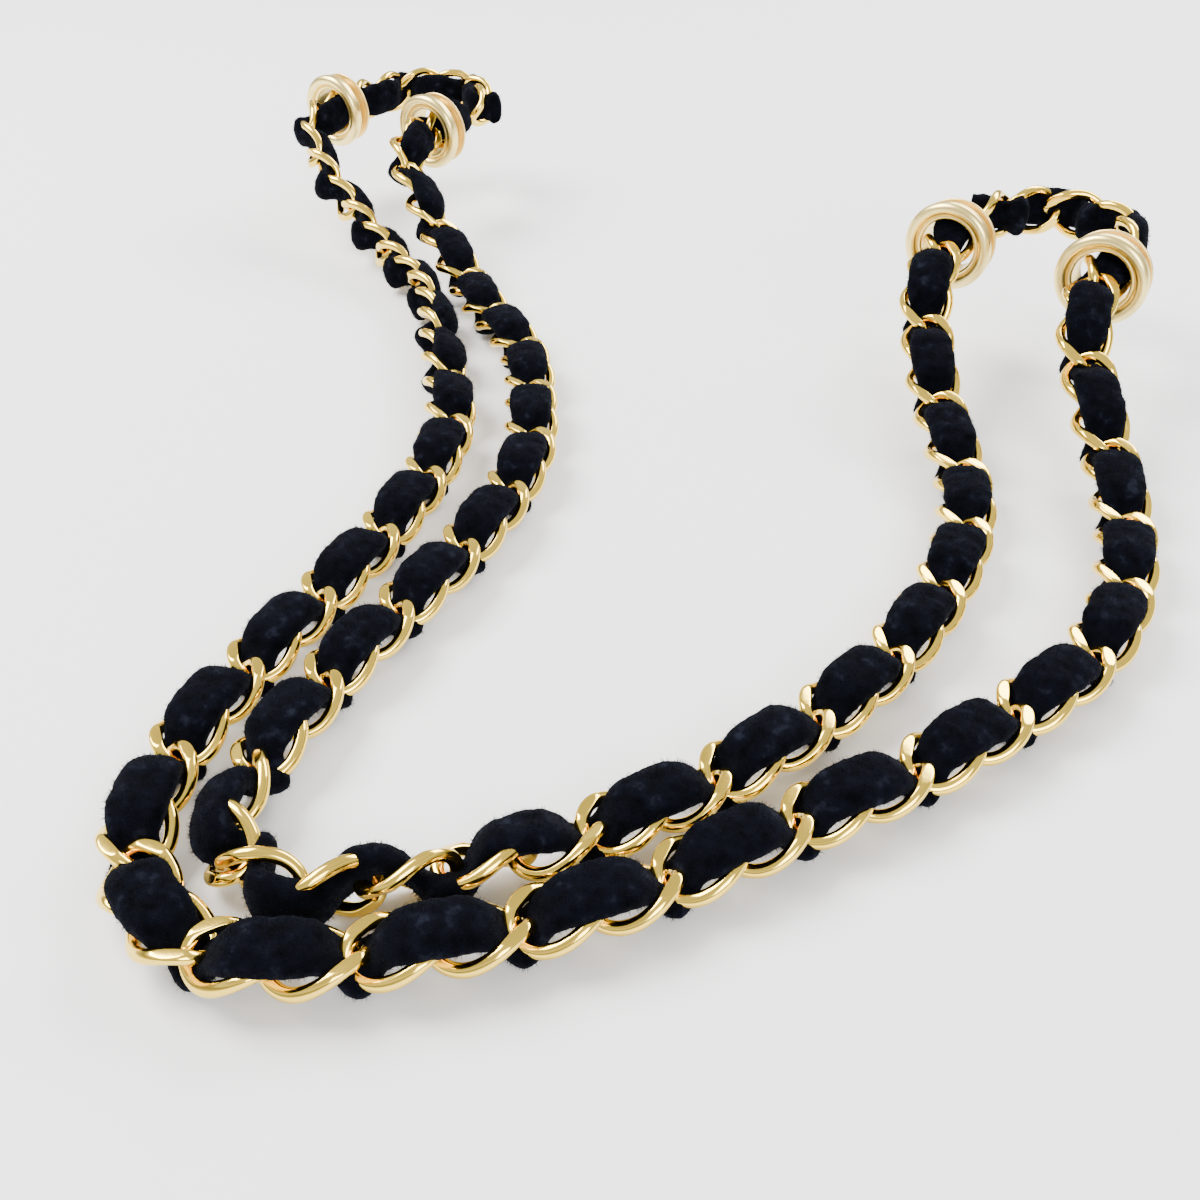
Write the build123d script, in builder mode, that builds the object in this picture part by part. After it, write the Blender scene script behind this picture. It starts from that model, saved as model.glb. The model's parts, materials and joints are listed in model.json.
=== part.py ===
from build123d import *
import math
import os

# A woven shoulder strap: two runs of curb chain with a velvet ribbon threaded through them, and the
# four eyelets that carry it through the leather of a bag. All sizes are in millimetres. +Y points
# into the bag, square to the row of eyelets, +Z points up, and the strap lies on the plane Z = 0.

# Chain
PITCH = 10.0            # one link to the next along a strand
WIRE = 2.0              # diameter of the round wire
HALF_LENGTH = 6.2       # from a link's middle to the middle of its wire at the tip
HALF_WIDTH = 4.45       # from a link's middle to the middle of its wire at the side
TIP_RUN = 1.8           # from the long axis to the corner that the wire rounds beside the tip
SHOULDER = 2.7          # from a link's middle to the corner that the wire rounds at its shoulder
TWIST = -42.0           # turn of the link's tip about its long axis, in degrees
FLAT = 2.15             # height of the ground facets above the link's middle plane

# Velvet ribbon, a soft oval that swells where it passes over or under a junction of two links
SWING = 4.2             # height of the ribbon's middle above or below a junction
PUFF_WIDTH = 2.9        # half width at a junction
PUFF_THICK = 1.1        # half thickness at a junction
NECK_WIDTH = 1.6        # half width where the ribbon passes through a link
NECK_THICK = 0.55       # half thickness there
RIBBON_STEPS = 6        # cross sections to one link pitch
LONGEST_LOFT = 3        # links that one loft of the ribbon spans
RIBBON_GAP = 2.6        # space left at each side of a hinge

# Eyelets
BORE = 5.8              # radius of the hole
BARREL = 6.15           # outside radius of the tube that goes through the leather
FLANGE = 9.2            # radius of the front flange
CROWN = 3.0             # how far the flange stands proud of the leather
LEATHER = 2.5           # thickness of leather that the eyelet clamps
WASHER = 8.8            # radius of the washer behind the leather
WASHER_THICK = 0.9
RIM = 0.9               # how far the rolled end of the tube stands behind the washer

# Places, measured from a point beside the middle of the strap's footprint
MIDDLE = (2.45, 5.83, -0.09)  # the footprint's middle, which becomes the origin
FACE_Y = 93.5           # front surface of the leather
EYELET_Z = 26.0         # height of the eyelets above the surface that the strap lies on
EYELET_X = {1: -117.0, 2: -83.0, 3: 61.0, 4: 93.5}
FLOOR_RUN = SWING + PUFF_THICK  # height of a strand's middle where it lies on the surface


def at_eyelet(number, dy):
    """A point on an eyelet's axis, dy behind the front surface of the leather."""
    return (EYELET_X[number], FACE_Y + dy, EYELET_Z)


def lying(*places):
    """Points of a strand that lies on the surface, from their x and y."""
    return [(x, y, FLOOR_RUN) for x, y in places]


# The outer strand starts behind eyelet 3, turns back through eyelet 4, runs round the front and goes
# in again through eyelet 1. The inner strand goes in through eyelets 3 and 2.
OUTER_ROUTE = [
    (61.1, 108.5, EYELET_Z),
    (65.3, 119.2, EYELET_Z),
    (77.2, 124.5, EYELET_Z),
    (89.0, 119.5, EYELET_Z),
    at_eyelet(4, 15),
    at_eyelet(4, 4),
    at_eyelet(4, -8),
    (95.0, 78.5, 22.5),
    (100.5, 70.0, 15.5),
    (110.0, 57.0, 8.3),
    *lying((118.5, 41.0), (124.5, 22.0), (126.0, 2.0), (121.0, -17.0), (114.0, -36.5)),
    *lying((105.0, -54.0), (96.0, -72.0), (85.5, -88.0), (71.5, -103.0), (55.0, -114.0)),
    *lying((38.0, -110.0), (26.0, -94.5), (20.0, -75.0), (16.0, -54.0), (12.0, -34.5)),
    *lying((6.0, -15.5), (-3.5, 3.0), (-19.0, 20.0), (-34.0, 35.0), (-50.0, 49.0)),
    (-68.0, 58.5, 5.6),
    (-86.0, 66.0, 10.0),
    (-102.0, 71.5, 17.5),
    (-113.0, 78.0, 24.0),
    at_eyelet(1, -8),
    at_eyelet(1, 4),
    at_eyelet(1, 15),
    (-112.5, 120.0, EYELET_Z),
    (-100.0, 125.5, EYELET_Z),
    (-87.5, 121.0, EYELET_Z),
    (-83.3, 112.5, EYELET_Z),
]
INNER_ROUTE = [
    at_eyelet(3, 4.5),
    at_eyelet(3, -2),
    at_eyelet(3, -8),
    (62.5, 78.5, 22.5),
    (67.0, 70.5, 16.0),
    (76.5, 56.5, 8.8),
    *lying((88.0, 41.5), (96.5, 23.0), (100.0, 4.0), (100.5, -16.0), (97.0, -36.5)),
    *lying((91.0, -55.0), (82.5, -72.0), (75.5, -82.0), (65.5, -93.0), (55.5, -102.0)),
    *lying((44.0, -100.0), (36.8, -87.5), (32.3, -71.5), (29.3, -51.5), (27.0, -32.0)),
    *lying((23.0, -14.0), (15.5, 4.5), (3.5, 20.5), (-10.0, 36.0), (-25.5, 46.0)),
    (-42.0, 56.8, 5.6),
    (-58.2, 66.2, 10.7),
    (-70.6, 72.3, 17.6),
    (-79.8, 78.5, 24.0),
    at_eyelet(2, -8),
    at_eyelet(2, 0),
    at_eyelet(2, 9),
]

# Roll of each strand about its own line: junction number and degrees, straight in between
OUTER_ROLL = [(0, -90), (4, -90), (8, 0), (44, 0), (51, 80), (58, 90), (67, 90)]
INNER_ROLL = [(0, 0), (19, 0), (27, 180), (44, 180), (50, 250), (51, 250)]

# Sections of each strand: name and the junction that it ends at. Each is rigid, and hinges on the
# next at the junction between them.
OUTER_SECTIONS = [
    ("outer_right_loop", 5),
    ("outer_right_4", 10),
    ("outer_right_3", 14),
    ("outer_right_2", 18),
    ("outer_right_1", 22),
    ("front_outer", 34),
    ("outer_left_1", 38),
    ("outer_left_2", 42),
    ("outer_left_3", 46),
    ("outer_left_4", 50),
    ("outer_left_5", 54),
    ("outer_left_6", 58),
    ("outer_left_7", 62),
    ("outer_left_loop", 67),
]
INNER_SECTIONS = [
    ("inner_right_4", 4),
    ("inner_right_3", 8),
    ("inner_right_2", 12),
    ("inner_right_1", 16),
    ("front_inner", 27),
    ("inner_left_1", 31),
    ("inner_left_2", 35),
    ("inner_left_3", 39),
    ("inner_left_4", 43),
    ("inner_left_5", 47),
    ("inner_left_6", 51),
]


def centred(point):
    """A point measured from the middle of the footprint."""
    return Vector(*point) - Vector(*MIDDLE)


def roll_at(table, number):
    """Roll in degrees at a junction number, which may lie between two junctions."""
    for (low, start), (high, end) in zip(table, table[1:]):
        if low <= number <= high:
            return start + (end - start) * (number - low) / (high - low)
    return table[-1][1]


class Strand:
    """A strand's line, its roll and how many links it has."""

    def __init__(self, points, roll, sections):
        with BuildLine() as line:
            Spline(*[centred(point) for point in points])
        self.line = line.edge()
        self.roll = roll
        self.sections = sections
        self.links = sections[-1][1]
        self.step = self.line.length / self.links

    def point(self, number):
        """The point at a junction number along the strand."""
        return self.line.position_at(number * self.step, position_mode=PositionMode.LENGTH)

    def plane(self, number):
        """A plane at a junction number: x along the strand, y across its flat side."""
        along = self.point(number + 0.5) - self.point(number - 0.5)
        across = Vector(0, 0, 1).cross(along).normalized()
        across = across.rotate(Axis((0, 0, 0), along), roll_at(self.roll, number))
        return Plane(self.point(number), x_dir=along, z_dir=along.cross(across))


def corner(x, v):
    """A point of a link's line, v out from its long axis, turned by the twist at x."""
    turn = math.radians(TWIST) * x / HALF_LENGTH
    return Vector(x, v * math.cos(turn), v * math.sin(turn))


def arc_radius(before, at, after, setback):
    """Radius of the arc at a corner that starts setback before it."""
    turn = math.radians((at - before).get_angle(after - at))
    return setback / math.tan(turn / 2)


def link():
    """One link: round wire bent to an oval, twisted about its length, with ground facets."""
    tip = corner(HALF_LENGTH, 0)
    knee = corner(HALF_LENGTH, TIP_RUN)
    shoulder = corner(SHOULDER, HALF_WIDTH)
    far_shoulder = corner(-SHOULDER, HALF_WIDTH)
    far_knee = corner(-HALF_LENGTH, TIP_RUN)
    tight = arc_radius(tip, knee, shoulder, 0.97 * TIP_RUN)
    wide = arc_radius(knee, shoulder, far_shoulder, (shoulder - knee).length - 0.98 * TIP_RUN)
    with BuildPart() as oval:
        with BuildLine() as path:
            FilletPolyline(
                tip, knee, shoulder, far_shoulder, far_knee, corner(-HALF_LENGTH, 0),
                radius=[tight, wide, wide, tight],
            )
        with BuildSketch(Plane(path.wire() @ 0, z_dir=path.wire() % 0)):
            Circle(WIRE / 2)
        sweep(path=path.wire())
        add(oval.part.rotate(Axis.Z, 180))
        Box(20, 20, 2 * FLAT, mode=Mode.INTERSECT)
    return oval.part


def links(strand, first, last):
    """The links of a section, each a solid of its own."""
    placed = []
    for number in range(first, last):
        middle = strand.plane(number + 0.5)
        chord = strand.point(number + 1) - strand.point(number)
        seat = Plane(strand.point(number) + chord * 0.5, x_dir=chord, z_dir=middle.z_dir)
        placed.append(seat.location * LINK)
    return placed


def ribbon_face(strand, number):
    """A cross section of the ribbon at a junction number: its plane and its two half sizes."""
    seat = strand.plane(number)
    phase = math.pi * number
    swell = abs(math.cos(phase))
    slope = -SWING * math.pi / PITCH * math.sin(phase)
    place = Plane(
        seat.origin + seat.z_dir * SWING * math.cos(phase),
        x_dir=seat.y_dir,
        z_dir=seat.x_dir + seat.z_dir * slope,
    )
    half_width = NECK_WIDTH + (PUFF_WIDTH - NECK_WIDTH) * swell
    half_thick = NECK_THICK + (PUFF_THICK - NECK_THICK) * swell
    return place, half_width, half_thick


def ribbon(strand, first, last):
    """The stretch of ribbon in a section, over the even junctions and under the odd ones."""
    start, end = first + RIBBON_GAP / PITCH, last - RIBBON_GAP / PITCH
    spans = math.ceil((last - first) / LONGEST_LOFT)
    count = round((end - start) * RIBBON_STEPS / spans)
    with BuildPart() as stretch:
        for span in range(spans):
            for n in range(span * count, span * count + count + 1):
                number = start + (end - start) * n / (spans * count)
                place, half_width, half_thick = ribbon_face(strand, number)
                with BuildSketch(place):
                    Ellipse(half_width, half_thick)
            loft(ruled=True)
    return stretch.part


def eyelet():
    """The front piece of an eyelet: crowned flange, tube and the rim rolled over the washer."""
    back = LEATHER + WASHER_THICK + 0.05
    with BuildPart() as turned:
        with BuildSketch(Plane.XY) as profile:
            with BuildLine():
                Line((BORE, back + 0.3), (BORE, -1.5))
                ThreePointArc((BORE, -1.5), (BORE + 0.45, -2.15), (BORE + 0.95, -1.75))
                ThreePointArc((BORE + 0.95, -1.75), (7.9, -CROWN), (FLANGE, -1.1))
                ThreePointArc((FLANGE, -1.1), (FLANGE - 0.15, -0.35), (FLANGE - 0.6, 0))
                Polyline((FLANGE - 0.6, 0), (BARREL, 0), (BARREL, back), (BARREL + 0.9, back))
                ThreePointArc((BARREL + 0.9, back), (BARREL + 0.45, back + RIM), (BORE, back + 0.3))
            make_face()
        revolve(axis=Axis.Y)
    return turned.part


def washer():
    """The washer behind the leather, slightly dished."""
    front = LEATHER
    with BuildPart() as ring:
        with BuildSketch(Plane.XY):
            with BuildLine():
                Line((BARREL + 0.1, front), (WASHER - 0.3, front))
                ThreePointArc(
                    (WASHER - 0.3, front), (WASHER, front + 0.3), (WASHER - 0.3, front + 0.6)
                )
                Line((WASHER - 0.3, front + 0.6), (BARREL + 1.2, front + WASHER_THICK))
                Polyline(
                    (BARREL + 1.2, front + WASHER_THICK),
                    (BARREL + 0.1, front + WASHER_THICK),
                    (BARREL + 0.1, front),
                )
            make_face()
        revolve(axis=Axis.Y)
    return ring.part


def save(pieces, label):
    """Writes one node: a single solid, or a group of separate ones."""
    node = pieces if isinstance(pieces, Part) else Compound(children=pieces)
    node.label = label
    export_step(node, f"parts/{label}.step")


os.makedirs("parts", exist_ok=True)
LINK = link()
OUTER = Strand(OUTER_ROUTE, OUTER_ROLL, OUTER_SECTIONS)
INNER = Strand(INNER_ROUTE, INNER_ROLL, INNER_SECTIONS)

for strand in (OUTER, INNER):
    first = 0
    for name, last in strand.sections:
        save(links(strand, first, last), f"{name}_links")
        save(ribbon(strand, first, last), f"{name}_ribbon")
        first = last

FRONT_PIECE = eyelet()
BACK_WASHER = washer()
for number in EYELET_X:
    seat = Location(centred(at_eyelet(number, 0)))
    save(seat * FRONT_PIECE, f"eyelet_{number}")
    save(seat * BACK_WASHER, f"eyelet_{number}_washer")
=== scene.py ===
import math

import bpy
import numpy as np
from mathutils import Matrix, Vector, noise
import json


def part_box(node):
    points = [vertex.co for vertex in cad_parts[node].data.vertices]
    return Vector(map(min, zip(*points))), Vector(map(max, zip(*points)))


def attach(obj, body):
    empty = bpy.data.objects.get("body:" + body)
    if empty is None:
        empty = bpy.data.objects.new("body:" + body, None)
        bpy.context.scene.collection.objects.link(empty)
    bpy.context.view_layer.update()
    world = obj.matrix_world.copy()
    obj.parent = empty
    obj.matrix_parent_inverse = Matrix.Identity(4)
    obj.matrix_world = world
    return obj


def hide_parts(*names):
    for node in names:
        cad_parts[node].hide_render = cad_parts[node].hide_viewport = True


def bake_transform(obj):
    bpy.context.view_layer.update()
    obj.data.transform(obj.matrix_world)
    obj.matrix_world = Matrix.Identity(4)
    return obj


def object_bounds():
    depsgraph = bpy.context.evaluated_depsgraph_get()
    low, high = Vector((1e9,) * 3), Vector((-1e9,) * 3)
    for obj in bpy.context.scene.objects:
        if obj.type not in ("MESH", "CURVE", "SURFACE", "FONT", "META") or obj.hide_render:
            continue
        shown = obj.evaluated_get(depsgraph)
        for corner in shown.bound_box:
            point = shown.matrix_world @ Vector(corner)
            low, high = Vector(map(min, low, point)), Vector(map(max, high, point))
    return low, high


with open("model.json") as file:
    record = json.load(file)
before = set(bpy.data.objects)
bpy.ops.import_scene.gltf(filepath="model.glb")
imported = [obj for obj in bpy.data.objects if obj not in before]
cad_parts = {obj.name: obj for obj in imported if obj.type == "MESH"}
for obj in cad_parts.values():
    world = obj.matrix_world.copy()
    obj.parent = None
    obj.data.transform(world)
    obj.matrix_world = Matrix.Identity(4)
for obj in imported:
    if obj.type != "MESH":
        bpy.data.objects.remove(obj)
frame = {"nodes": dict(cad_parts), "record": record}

CAD_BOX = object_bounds()
FLOOR = CAD_BOX[0][2]
RECORD = frame["record"]

# Chain, in metres, as in the CAD model
WIRE = 0.0020
HALF_LENGTH = 0.0062
HALF_WIDTH = 0.00445
TIP_RUN = 0.0018
SHOULDER = 0.0027
TWIST = math.radians(-42.0)
FLAT = 0.00213

# Velvet ribbon
PUFF_WIDTH = 0.0042
PUFF_THICK = 0.0022
NECK_WIDTH = 0.0031
NECK_THICK = 0.0014
SIT = 0.0026         # height of the velvet's middle over a junction
LONG_SIDE = 0.23     # how far the ribbon's crossing lies past a link's middle, in pitches
PITCH = 0.0099
PILE = 0.00085       # length of a fibre
PILE_DENSITY = 3.2e6  # fibres to a square metre

# Eyelets, measured from the leather's front face along +Y
BORE = 0.0058
BARREL = 0.00615
FLANGE = 0.0092
CROWN = 0.0030
LEATHER = 0.0025
WASHER = 0.0088
WASHER_THICK = 0.0009
RIM = 0.0009

# Sections of each strand in order, with the junction that each one ends at
OUTER = [
    ("outer_right_loop", 5), ("outer_right_4", 10), ("outer_right_3", 14), ("outer_right_2", 18),
    ("outer_right_1", 22), ("front_outer", 34), ("outer_left_1", 38), ("outer_left_2", 42),
    ("outer_left_3", 46), ("outer_left_4", 50), ("outer_left_5", 54), ("outer_left_6", 58),
    ("outer_left_7", 62), ("outer_left_loop", 67),
]
INNER = [
    ("inner_right_4", 4), ("inner_right_3", 8), ("inner_right_2", 12), ("inner_right_1", 16),
    ("front_inner", 27), ("inner_left_1", 31), ("inner_left_2", 35), ("inner_left_3", 39),
    ("inner_left_4", 43), ("inner_left_5", 47), ("inner_left_6", 51),
]
# Which side of the strand shows the long stretches of ribbon: junction number and side
SIDE = {"outer": [(0, 1), (67, 1)], "inner": [(0, 1), (19, 1), (25, -1), (51, -1)]}
FLAT_LINK = {"outer": 20, "inner": 10}  # a link that lies face up in each strand

BODY_OF = {}
for body, nodes in RECORD["behaviour"]["bodies"].items():
    for node in nodes:
        BODY_OF[node] = body


# ---------------------------------------------------------------- placement from the CAD nodes
def pieces_of(node):
    """Every separate solid of a node: its middle and its long, wide and thin directions."""
    mesh = frame["nodes"][node].data
    count = len(mesh.vertices)
    points = np.empty(count * 3)
    mesh.vertices.foreach_get("co", points)
    points = points.reshape(-1, 3)
    keys = {}
    parent = list(range(count))
    for i, key in enumerate(map(tuple, np.round(points * 1e6).astype(int))):
        parent[i] = keys.setdefault(key, i)

    def root(i):
        while parent[i] != i:
            parent[i] = parent[parent[i]]
            i = parent[i]
        return i

    mesh.calc_loop_triangles()
    triangles = np.empty(len(mesh.loop_triangles) * 3, dtype=int)
    mesh.loop_triangles.foreach_get("vertices", triangles)
    triangles = triangles.reshape(-1, 3)
    for a, b, c in triangles.tolist():
        parent[root(a)] = root(b)
        parent[root(b)] = root(c)
    group = np.array([root(int(t)) for t in triangles[:, 0]])
    found = []
    for label in sorted(set(group.tolist())):
        corners = points[triangles[group == label]]
        area = np.linalg.norm(
            np.cross(corners[:, 1] - corners[:, 0], corners[:, 2] - corners[:, 0]), axis=1)
        centre = (corners.mean(axis=1) * area[:, None]).sum(axis=0) / area.sum()
        mids = corners.mean(axis=1) - centre
        spread = (mids * area[:, None]).T @ mids / area.sum()
        values, vectors = np.linalg.eigh(spread)
        found.append((Vector(centre), Vector(vectors[:, 2]), Vector(vectors[:, 0])))
    return found


class Strand:
    """The links of one strand in order, with the ribbon's line worked out from them."""

    def __init__(self, name, sections):
        self.name = name
        self.sections = sections
        self.links = []  # node, middle, along, up
        seen = None
        for section, _ in sections:
            node = section + "_links"
            found = pieces_of(node)
            if seen is None:
                following = pieces_of(sections[1][0] + "_links")
                near = min(following, key=lambda f: min((f[0] - g[0]).length for g in found))[0]
                ordered = self.walk(found, near)[::-1]
            else:
                ordered = self.walk(found, seen)
            for middle, along, up in ordered:
                self.links.append([node, middle, along, up])
            seen = ordered[-1][0]
        self.count = len(self.links)
        for i, entry in enumerate(self.links):
            ahead = self.links[min(i + 1, self.count - 1)][1] - self.links[max(i - 1, 0)][1]
            if entry[2].dot(ahead) < 0:
                entry[2] = -entry[2]
        flat = FLAT_LINK[name]
        if self.links[flat][3].z < 0:
            self.links[flat][3] = -self.links[flat][3]
        for i in range(flat + 1, self.count):
            if self.links[i][3].dot(self.links[i - 1][3]) < 0:
                self.links[i][3] = -self.links[i][3]
        for i in range(flat - 1, -1, -1):
            if self.links[i][3].dot(self.links[i + 1][3]) < 0:
                self.links[i][3] = -self.links[i][3]

    def walk(self, found, near):
        """The pieces in order, each nearest to the one before."""
        left = list(found)
        ordered = []
        while left:
            nxt = min(left, key=lambda f: (f[0] - near).length)
            left.remove(nxt)
            ordered.append(nxt)
            near = nxt[0]
        return ordered

    def at(self, which, number):
        """A link's middle (1) or up direction (3), smoothed to a place between two links."""
        t = number - 0.5
        i = max(0, min(self.count - 2, math.floor(t)))
        f = t - i

        def value(k):
            inside = max(0, min(self.count - 1, k))
            place = self.links[inside][which]
            if inside == k or which == 3:
                return place
            neighbour = 1 if k < 0 else self.count - 2
            return place * 2 - self.links[neighbour][which]

        a, b, c, d = value(i - 1), value(i), value(i + 1), value(i + 2)
        return 0.5 * ((2 * b) + (c - a) * f + (2 * a - 5 * b + 4 * c - d) * f * f
                      + (3 * b - a - 3 * c + d) * f ** 3)

    def place(self, number):
        """Middle, along, across and up at a junction number."""
        middle = self.at(1, number)
        along = (self.at(1, number + 0.1) - self.at(1, number - 0.1)).normalized()
        up = self.at(3, number)
        up = (up - along * up.dot(along)).normalized()
        return middle, along, up.cross(along), up


# ---------------------------------------------------------------- materials
def principled(name):
    material = bpy.data.materials.new(name)
    material.use_nodes = True
    nodes = material.node_tree.nodes
    return material, nodes, material.node_tree.links, nodes["Principled BSDF"]


def metal(name, colour, rough, grain, strength):
    """Plated metal with a little unevenness in the polish."""
    material, nodes, links, shader = principled(name)
    shader.inputs["Base Color"].default_value = (*colour, 1.0)
    shader.inputs["Metallic"].default_value = 1.0
    shader.inputs["Roughness"].default_value = rough
    where = nodes.new("ShaderNodeTexCoord")
    specks = nodes.new("ShaderNodeTexNoise")
    specks.inputs["Scale"].default_value = grain
    specks.inputs["Detail"].default_value = 4.0
    links.new(where.outputs["Object"], specks.inputs["Vector"])
    bump = nodes.new("ShaderNodeBump")
    bump.inputs["Strength"].default_value = strength
    bump.inputs["Distance"].default_value = 0.0002
    links.new(specks.outputs["Fac"], bump.inputs["Height"])
    links.new(bump.outputs["Normal"], shader.inputs["Normal"])
    return material


def velvet(name):
    """Dark navy pile with a soft sheen, plus brighter patches painted into its colour as sheen
    highlights.
    """
    material, nodes, links, shader = principled(name)
    where = nodes.new("ShaderNodeTexCoord")
    cloud = nodes.new("ShaderNodeTexNoise")
    cloud.inputs["Scale"].default_value = 420.0
    cloud.inputs["Detail"].default_value = 6.0
    links.new(where.outputs["Object"], cloud.inputs["Vector"])
    ramp = nodes.new("ShaderNodeValToRGB")
    ramp.color_ramp.elements[0].position = 0.30
    ramp.color_ramp.elements[0].color = (0.0006, 0.0007, 0.0013, 1.0)
    ramp.color_ramp.elements[1].position = 0.60
    ramp.color_ramp.elements[1].color = (0.0022, 0.0026, 0.0052, 1.0)
    # The brightest stop is a painted sheen highlight: lighter patches of colour standing in for light
    # caught by crushed pile.
    painted_sheen_stop = ramp.color_ramp.elements.new(0.72)
    painted_sheen_stop.color = (0.0085, 0.010, 0.017, 1.0)
    links.new(cloud.outputs["Fac"], ramp.inputs["Fac"])
    links.new(ramp.outputs["Color"], shader.inputs["Base Color"])
    shader.inputs["Roughness"].default_value = 0.95
    shader.inputs["Specular IOR Level"].default_value = 0.03
    shader.inputs["Sheen Weight"].default_value = 0.045
    shader.inputs["Sheen Roughness"].default_value = 0.30
    shader.inputs["Sheen Tint"].default_value = (0.50, 0.56, 0.78, 1.0)
    pile = nodes.new("ShaderNodeTexNoise")
    pile.inputs["Scale"].default_value = 5200.0
    pile.inputs["Detail"].default_value = 3.0
    links.new(where.outputs["Object"], pile.inputs["Vector"])
    bump = nodes.new("ShaderNodeBump")
    bump.inputs["Strength"].default_value = 0.85
    bump.inputs["Distance"].default_value = 0.00025
    links.new(pile.outputs["Fac"], bump.inputs["Height"])
    links.new(bump.outputs["Normal"], shader.inputs["Normal"])
    return material


GOLD = metal("polished gold", (1.0, 0.69, 0.10), 0.13, 900.0, 0.05)
SATIN = metal("satin gold", (0.97, 0.76, 0.27), 0.30, 2600.0, 0.12)
BACK = metal("washer gold", (0.90, 0.66, 0.26), 0.34, 2600.0, 0.2)
VELVET = velvet("navy velvet")


# ---------------------------------------------------------------- shapes
def build(name, vertices, faces, material):
    mesh = bpy.data.meshes.new(name)
    mesh.from_pydata([tuple(v) for v in vertices], [], faces)
    mesh.update()
    mesh.validate()
    mesh.polygons.foreach_set("use_smooth", [True] * len(mesh.polygons))
    mesh.materials.append(material)
    thing = bpy.data.objects.new(name, mesh)
    bpy.context.scene.collection.objects.link(thing)
    return thing


def link_shape(around=112, ring=28):
    """One link as points and faces in its own frame: x along, y across, z up."""
    control = [
        (HALF_LENGTH, -TIP_RUN), (HALF_LENGTH, TIP_RUN), (SHOULDER, HALF_WIDTH),
        (-SHOULDER, HALF_WIDTH), (-HALF_LENGTH, TIP_RUN), (-HALF_LENGTH, -TIP_RUN),
        (-SHOULDER, -HALF_WIDTH), (SHOULDER, -HALF_WIDTH),
    ]
    path = []
    sides = len(control)
    for i in range(around):
        s = i * sides / around
        k = int(s)
        f = s - k
        a, b, c = (Vector(control[(k + j) % sides]) for j in range(3))
        flat = (a + b) / 2 * (1 - f) ** 2 + b * 2 * f * (1 - f) + (b + c) / 2 * f * f
        turn = TWIST * flat.x / HALF_LENGTH
        path.append(Vector((flat.x, flat.y * math.cos(turn), flat.y * math.sin(turn))))
    vertices = []
    for i, p in enumerate(path):
        tangent = (path[(i + 1) % around] - path[i - 1]).normalized()
        outward = (p - tangent * p.dot(tangent)).normalized()
        side = tangent.cross(outward)
        for j in range(ring):
            angle = 2 * math.pi * j / ring
            v = p + (outward * math.cos(angle) + side * math.sin(angle)) * (WIRE / 2)
            over = abs(v.z) - FLAT
            if over > 0:
                v.z = math.copysign(FLAT + over * 0.06, v.z)
            vertices.append(v)
    faces = []
    for i in range(around):
        for j in range(ring):
            a = i * ring + j
            b = i * ring + (j + 1) % ring
            c = ((i + 1) % around) * ring + (j + 1) % ring
            d = ((i + 1) % around) * ring + j
            faces.append((a, d, c, b))
    return vertices, faces


LINK_POINTS, LINK_FACES = link_shape(112, 28)


def make_links(strand):
    """One mesh of links for each CAD node of links."""
    groups = {}
    for node, middle, along, up in strand.links:
        groups.setdefault(node, []).append((middle, along, up))
    for node, seats in groups.items():
        vertices, faces = [], []
        for middle, along, up in seats:
            across = up.cross(along).normalized()
            frame_of = Matrix((along, across, up)).transposed()
            start = len(vertices)
            vertices += [middle + frame_of @ v for v in LINK_POINTS]
            faces += [tuple(start + i for i in f) for f in LINK_FACES]
        thing = build("gold_" + node, vertices, faces, GOLD)
        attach(thing, BODY_OF[node])
        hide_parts(node)


def side_at(strand, number):
    """1 where the long stretches are on the strand's upper side, -1 on its lower side."""
    table = SIDE[strand.name]
    for (low, start), (high, end) in zip(table, table[1:]):
        if number <= high:
            return start + (end - start) * max(0.0, number - low) / (high - low)
    return table[-1][1]


def wave(strand, number):
    """Height of the ribbon from 1, over an even junction, to -1, under an odd one."""
    away = abs((number + 1) % 2 - 1)
    cross = 0.5 + LONG_SIDE * side_at(strand, number)
    if away < cross:
        return math.cos(math.pi / 2 * (away / cross) ** (2.9 * cross))
    return -math.cos(math.pi / 2 * ((1 - away) / (1 - cross)) ** (2.9 * (1 - cross)))


def ribbon_ring(strand, number, ring):
    """One cross section of the velvet at a junction number: its points and outward directions."""
    middle, along, across, up = strand.place(number)
    level = wave(strand, number)
    swell = abs(level) ** 1.6
    width = NECK_WIDTH + (PUFF_WIDTH - NECK_WIDTH) * swell
    thick = NECK_THICK + (PUFF_THICK - NECK_THICK) * swell
    centre = middle + up * (SIT * level)
    rise = wave(strand, number + 0.06) - wave(strand, number - 0.06)
    forward = (along + up * (SIT * rise / (0.12 * PITCH))).normalized()
    normal = forward.cross(across).normalized()
    if normal.dot(up) < 0:
        normal = -normal
    points, outward = [], []
    for j in range(ring):
        angle = 2 * math.pi * j / ring
        c, s = math.cos(angle), math.sin(angle)
        x = math.copysign(abs(c) ** 0.85, c) * width
        z = math.copysign(abs(s) ** 0.85, s) * thick
        spot = centre + across * x + normal * z
        way = (across * (c / width) + normal * (s / thick)).normalized()
        lump = 0.00022 * noise.noise(spot * 420.0) + 0.00012 * noise.noise(spot * 1100.0)
        fold = 0.00012 * math.sin(3 * angle + 1.9 * number) * (1.2 - swell)
        spot += way * (lump + fold)
        spot.z = max(spot.z, FLOOR + 0.0001)
        points.append(spot)
        outward.append(way)
    return points, outward


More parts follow.
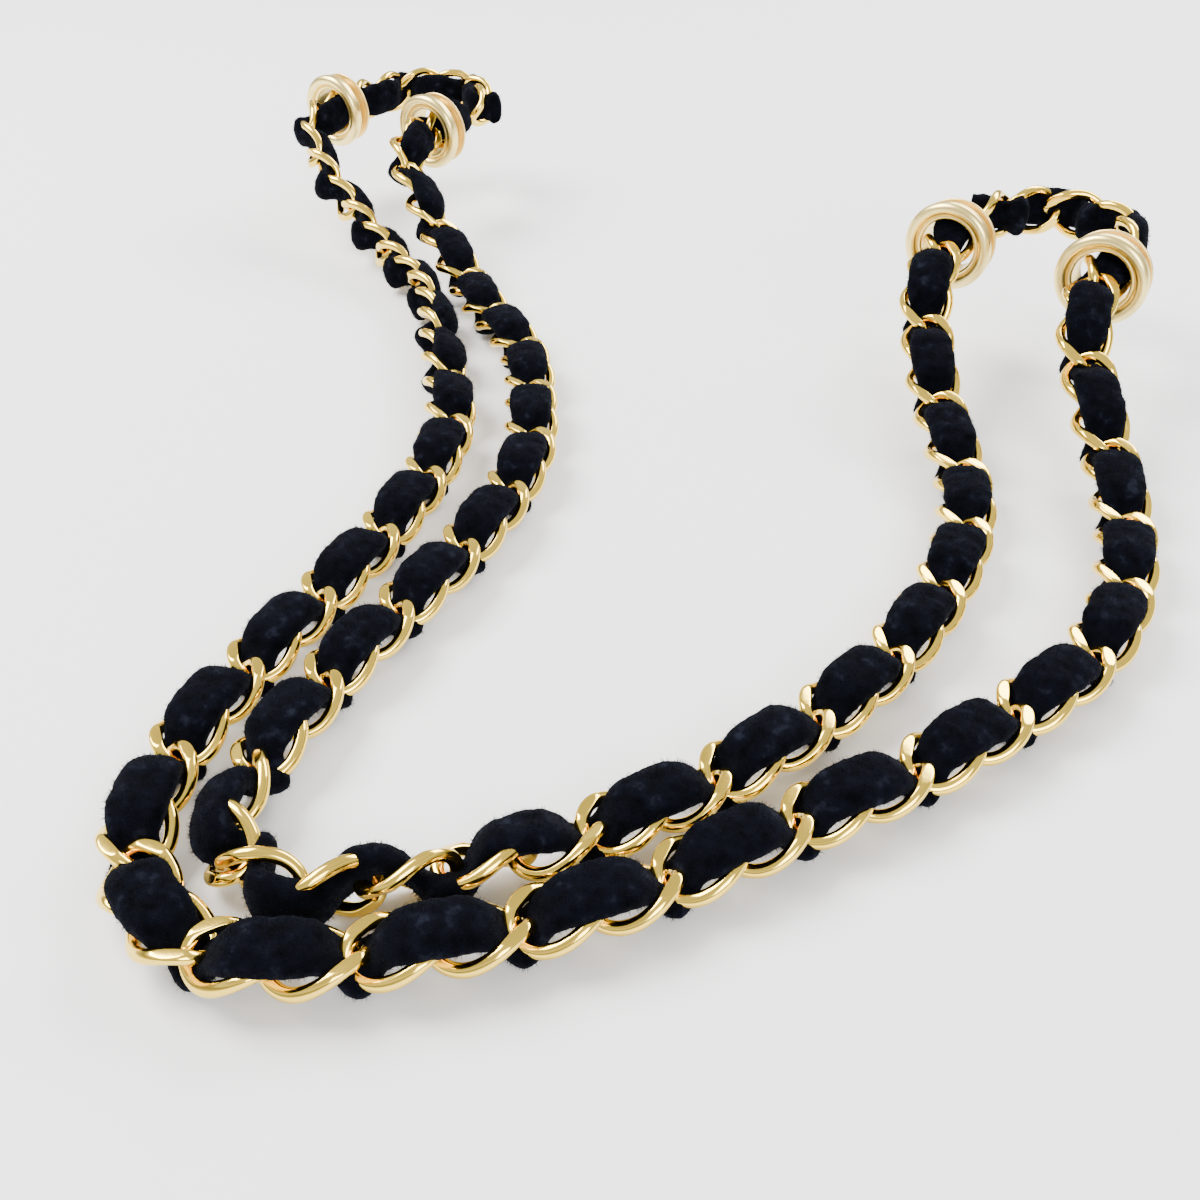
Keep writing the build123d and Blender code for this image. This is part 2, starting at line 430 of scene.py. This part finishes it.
def add_pile(vertices, faces, outward, seed):
    """Short leaning fibres over the surface, one narrow triangle each."""
    chance = np.random.default_rng(seed)
    points = np.array([tuple(v) for v in vertices])
    normals = np.array([tuple(v) for v in outward])
    quads = np.array([f for f in faces if len(f) == 4])
    corners = points[quads]
    area = np.linalg.norm(
        np.cross(corners[:, 2] - corners[:, 0], corners[:, 3] - corners[:, 1]), axis=1) / 2
    total = int(area.sum() * PILE_DENSITY * (1.0))
    chosen = chance.choice(len(quads), size=total, p=area / area.sum())
    u, v = chance.random((2, total, 1))
    four = corners[chosen]
    roots = ((four[:, 0] * (1 - u) + four[:, 1] * u) * (1 - v)
             + (four[:, 3] * (1 - u) + four[:, 2] * u) * v)
    lean = normals[quads[chosen]].mean(axis=1) + chance.normal(0, 0.42, (total, 3))
    lean /= np.linalg.norm(lean, axis=1)[:, None]
    aside = np.cross(lean, chance.normal(0, 1, (total, 3)))
    aside /= np.linalg.norm(aside, axis=1)[:, None]
    tips = roots + lean * PILE * chance.uniform(0.5, 1.0, (total, 1))
    tips[:, 2] = np.maximum(tips[:, 2], FLOOR + 0.00005)
    half = aside * 0.00004
    start = len(vertices)
    strands = np.stack([roots - half, roots + half, tips], axis=1).reshape(-1, 3)
    vertices += [Vector(p) for p in strands]
    faces += [(start + 3 * k, start + 3 * k + 1, start + 3 * k + 2) for k in range(total)]


def velvet_piece(strand, name, start, end):
    """A closed stretch of ribbon between two junction numbers, with its pile."""
    ring = 40
    steps = max(4, round((end - start) * (32)))
    vertices, outward = [], []
    for k in range(steps + 1):
        points, ways = ribbon_ring(strand, start + (end - start) * k / steps, ring)
        vertices += points
        outward += ways
    faces = []
    for k in range(steps):
        for j in range(ring):
            a = k * ring + j
            b = k * ring + (j + 1) % ring
            faces.append((a, b, b + ring, a + ring))
    add_pile(vertices, faces, outward, 100 + round(start * 100) + 7000 * (strand.name == "inner"))
    for corner, turn in ((0, -1), (steps * ring, 1)):
        cap = len(vertices)
        vertices += [v.copy() for v in vertices[corner:corner + ring]]
        faces.append(tuple(range(cap, cap + ring))[::turn])
    return build(name, vertices, faces, VELVET)


def make_ribbon(strand):
    """The velvet: one piece inside each section and one across each hinge."""
    first = 0
    sections = strand.sections
    lap = 0.02
    for i, (section, last) in enumerate(sections):
        low = first - 0.1 if i == 0 else first + 1
        high = last + 0.1 if i == len(sections) - 1 else last - 1
        inside = velvet_piece(strand, "velvet_" + section, low - lap, high + lap)
        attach(inside, BODY_OF[section + "_ribbon"])
        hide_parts(section + "_ribbon")
        if i + 1 < len(sections):
            across = velvet_piece(strand, "velvet_" + section + "_end", last - 1, last + 1)
            strand.place(last - 0.7)[0]
            strand.place(last + 0.7)[0]
            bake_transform(across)
        first = last


def arc(a, b, c, count):
    """Points on the circle through three points, from a to c."""
    ax, ay, bx, by, cx, cy = *a, *b, *c
    d = 2 * (ax * (by - cy) + bx * (cy - ay) + cx * (ay - by))
    ux = ((ax * ax + ay * ay) * (by - cy) + (bx * bx + by * by) * (cy - ay)
          + (cx * cx + cy * cy) * (ay - by)) / d
    uy = ((ax * ax + ay * ay) * (cx - bx) + (bx * bx + by * by) * (ax - cx)
          + (cx * cx + cy * cy) * (bx - ax)) / d
    radius = math.hypot(ax - ux, ay - uy)
    start, mid, end = (math.atan2(y - uy, x - ux) for x, y in (a, b, c))
    turn = (end - start) % (2 * math.pi)
    if (mid - start) % (2 * math.pi) > turn:
        turn -= 2 * math.pi
    return [(ux + radius * math.cos(start + turn * k / count),
             uy + radius * math.sin(start + turn * k / count)) for k in range(count + 1)]


def lathe(name, profile, centre, material):
    """A closed profile of (radius, depth) turned about the Y axis through a centre."""
    around = 160
    vertices = []
    for k in range(around):
        angle = 2 * math.pi * k / around
        for radius, depth in profile:
            vertices.append((centre[0] + radius * math.cos(angle), centre[1] + depth,
                             centre[2] + radius * math.sin(angle)))
    faces = []
    n = len(profile)
    for k in range(around):
        for j in range(n):
            a = k * n + j
            b = k * n + (j + 1) % n
            c = ((k + 1) % around) * n + (j + 1) % n
            d = ((k + 1) % around) * n + j
            faces.append((a, b, c, d))
    return build(name, vertices, faces, material)


def eyelet_profile():
    back = LEATHER + WASHER_THICK + 0.00005
    points = [(BORE, back * k / 4) for k in range(4, 0, -1)] + [(BORE, 0.0), (BORE, -0.0008)]
    points += arc((BORE, -0.0015), (BORE + 0.00045, -0.00215), (BORE + 0.00095, -0.00175), 10)
    points += arc((BORE + 0.00095, -0.00175), (0.0079, -CROWN), (FLANGE, -0.0011), 26)[1:]
    points += arc((FLANGE, -0.0011), (FLANGE - 0.00015, -0.00035), (FLANGE - 0.0006, 0.0), 8)[1:]
    points += [(BARREL + 0.0002, 0.0), (BARREL, 0.0002), (BARREL, back - 0.0001)]
    points += [(BARREL + 0.0009, back)]
    points += arc((BARREL + 0.0009, back), (BARREL + 0.00045, back + RIM),
                  (BORE, back + 0.0003), 12)[1:]
    return points


def washer_profile():
    front = LEATHER
    points = [(BARREL + 0.0001, front), (WASHER - 0.0003, front)]
    points += arc((WASHER - 0.0003, front), (WASHER, front + 0.0003),
                  (WASHER - 0.0003, front + 0.0006), 8)[1:]
    points += [(BARREL + 0.0012, front + WASHER_THICK), (BARREL + 0.0001, front + WASHER_THICK)]
    return points


def make_eyelets():
    for number in (1, 2, 3, 4):
        node = f"eyelet_{number}"
        low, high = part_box(node)
        centre = ((low[0] + high[0]) / 2, low[1] + CROWN, (low[2] + high[2]) / 2)
        ring = lathe("satin_" + node, eyelet_profile(), centre, SATIN)
        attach(ring, BODY_OF[node])
        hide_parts(node)
        back = lathe("satin_" + node + "_washer", washer_profile(), centre, BACK)
        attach(back, BODY_OF[node])
        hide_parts(node + "_washer")


outer = Strand("outer", OUTER)
inner = Strand("inner", INNER)
for strand in (outer, inner):
    make_links(strand)
    make_ribbon(strand)
make_eyelets()


# ---------------------------------------------------------------- floor, light and camera
def floor():
    mesh = bpy.data.meshes.new("floor")
    size = 6.0
    mesh.from_pydata([(-size, -size, 0), (size, -size, 0), (size, size, 0), (-size, size, 0)],
                     [], [(0, 1, 2, 3)])
    material, nodes, links, shader = principled("pale floor")
    shader.inputs["Base Color"].default_value = (0.93, 0.93, 0.935, 1.0)
    shader.inputs["Roughness"].default_value = 0.6
    mesh.materials.append(material)
    thing = bpy.data.objects.new("floor", mesh)
    thing.location.z = CAD_BOX[0][2] - 0.0001
    bpy.context.scene.collection.objects.link(thing)


def softbox(name, place, target, width, height, power, colour):
    light = bpy.data.lights.new(name, "AREA")
    light.shape = "RECTANGLE"
    light.size = width
    light.size_y = height
    light.energy = power
    light.color = colour
    thing = bpy.data.objects.new(name, light)
    thing.location = place
    thing.rotation_euler = (Vector(target) - Vector(place)).to_track_quat("-Z", "Y").to_euler()
    bpy.context.scene.collection.objects.link(thing)


floor()
softbox("key", (-0.55, -0.15, 0.75), (0, 0, 0), 0.6, 0.5, 21.0, (1.0, 0.985, 0.96))
softbox("fill", (0.7, -0.5, 0.5), (0, 0, 0), 0.5, 0.5, 10.0, (0.95, 0.97, 1.0))
softbox("back", (0.1, 0.8, 0.6), (0, 0, 0.02), 0.8, 0.35, 13.0, (1.0, 1.0, 1.0))

world = bpy.data.worlds.new("studio")
bpy.context.scene.world = world
world.use_nodes = True
sky = world.node_tree.nodes
where = sky.new("ShaderNodeTexCoord")
split = sky.new("ShaderNodeSeparateXYZ")
shade = sky.new("ShaderNodeValToRGB")
for position, level in ((0.0, 0.90), (0.12, 0.80), (0.25, 0.30), (0.42, 1.30), (0.65, 0.75), (1.0, 1.5)):
    stop = shade.color_ramp.elements.new(position)
    stop.color = (level, level, level * 1.02, 1.0)
shade.color_ramp.elements.remove(shade.color_ramp.elements[0])
shade.color_ramp.elements.remove(shade.color_ramp.elements[-1])
world.node_tree.links.new(where.outputs["Generated"], split.inputs[0])
world.node_tree.links.new(split.outputs["Z"], shade.inputs["Fac"])
world.node_tree.links.new(shade.outputs["Color"], sky["Background"].inputs["Color"])
sky["Background"].inputs["Strength"].default_value = 1.0

# The camera stands where the photographer's did, seen from the strap
lens = bpy.data.cameras.new("camera")
lens.sensor_width = 36.0
lens.angle = math.radians(48.62)
lens.clip_start = 0.005
lens.clip_end = 20.0
camera = bpy.data.objects.new("camera", lens)
camera.matrix_world = (
    Matrix.Translation((0.15355, -0.17533, 0.13599))
    @ Matrix.Rotation(math.radians(35.6), 4, "Z")
    @ Matrix.Rotation(math.radians(53.08), 4, "X")
    @ Matrix.Rotation(math.radians(-1.2566), 4, "Z")
)
bpy.context.scene.collection.objects.link(camera)
bpy.context.scene.camera = camera
